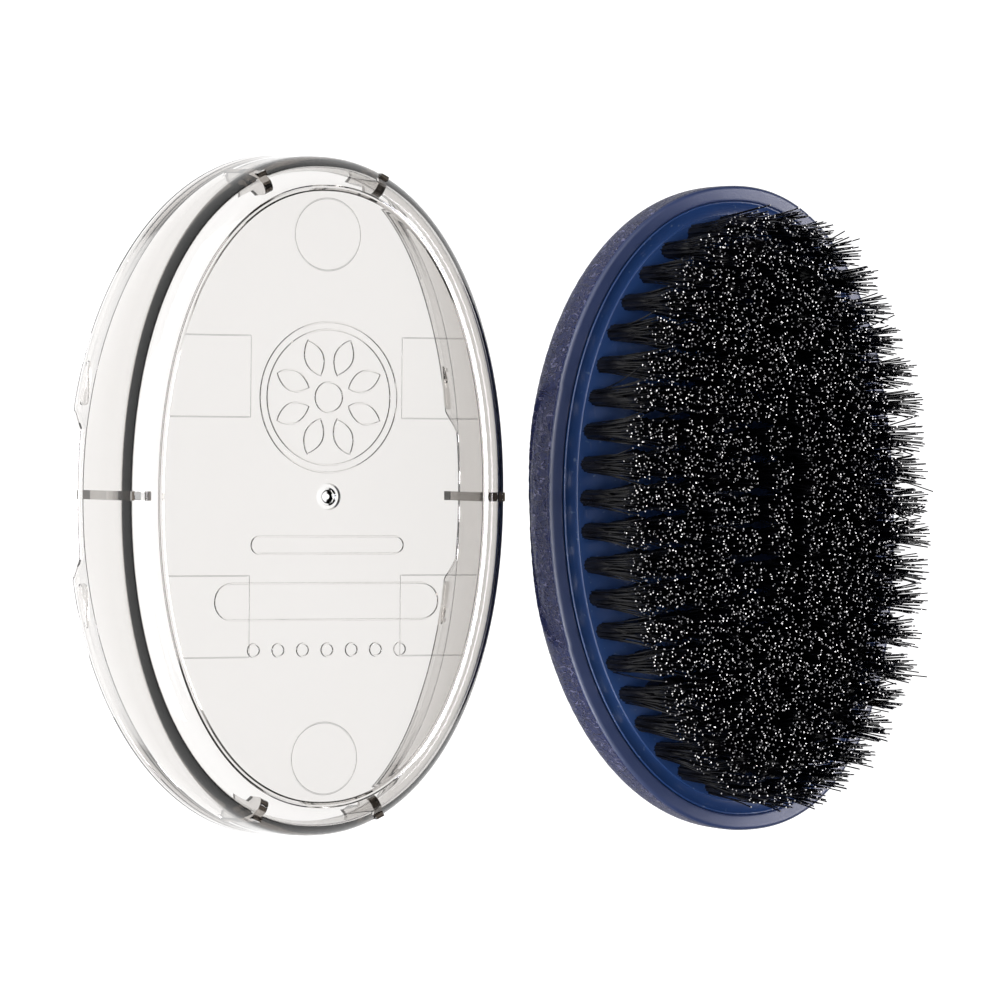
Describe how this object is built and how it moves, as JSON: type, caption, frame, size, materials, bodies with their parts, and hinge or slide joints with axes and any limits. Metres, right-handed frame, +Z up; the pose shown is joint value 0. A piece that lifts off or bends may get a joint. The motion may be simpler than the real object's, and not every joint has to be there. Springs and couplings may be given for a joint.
{
  "type": "fade brush",
  "caption": "Palm-held oval barber's fade brush with dense tufts of black bristle, lying bristles up beside its clear lift-off dust cover.",
  "frame": {"origin": "middle of the small flat land on the brush's back, where the brush rests", "axes": "+Z up, the way the bristles point; Y along the brush's length; X across its width, with the dust cover on the -X side"},
  "size_m": [0.1683, 0.1329, 0.0402],
  "materials": {
    "navy_body": "satin with a moulded leather grain on the side wall",
    "blue_plate": "semi-gloss moulded",
    "bristle_nylon": "black filament with bright cut ends",
    "anchor_wire": "bright drawn flat wire",
    "smoke_clear": "clear, very slightly smoky plastic, polished"
  },
  "bodies": {
    "brush": {"handle_shell": "navy_body", "bristle_plate": "blue_plate", "tufts_ring_1": "bristle_nylon", "tufts_ring_2": "bristle_nylon", "tufts_ring_3": "bristle_nylon", "tufts_ring_4": "bristle_nylon", "tufts_ring_5": "bristle_nylon", "tufts_ring_6": "bristle_nylon", "tuft_anchors_1": "anchor_wire", "tuft_anchors_2": "anchor_wire", "tuft_anchors_3": "anchor_wire", "tuft_anchors_4": "anchor_wire", "tuft_anchors_5": "anchor_wire", "tuft_anchors_6": "anchor_wire"},
    "cover": {"dust_cover": "smoke_clear"}
  },
  "joints": [
    {"name": "cover_lift", "type": "slide", "parent": "brush", "child": "cover", "axis": [0, 0, 1], "range_m": [0, 0.06]}
  ]
}
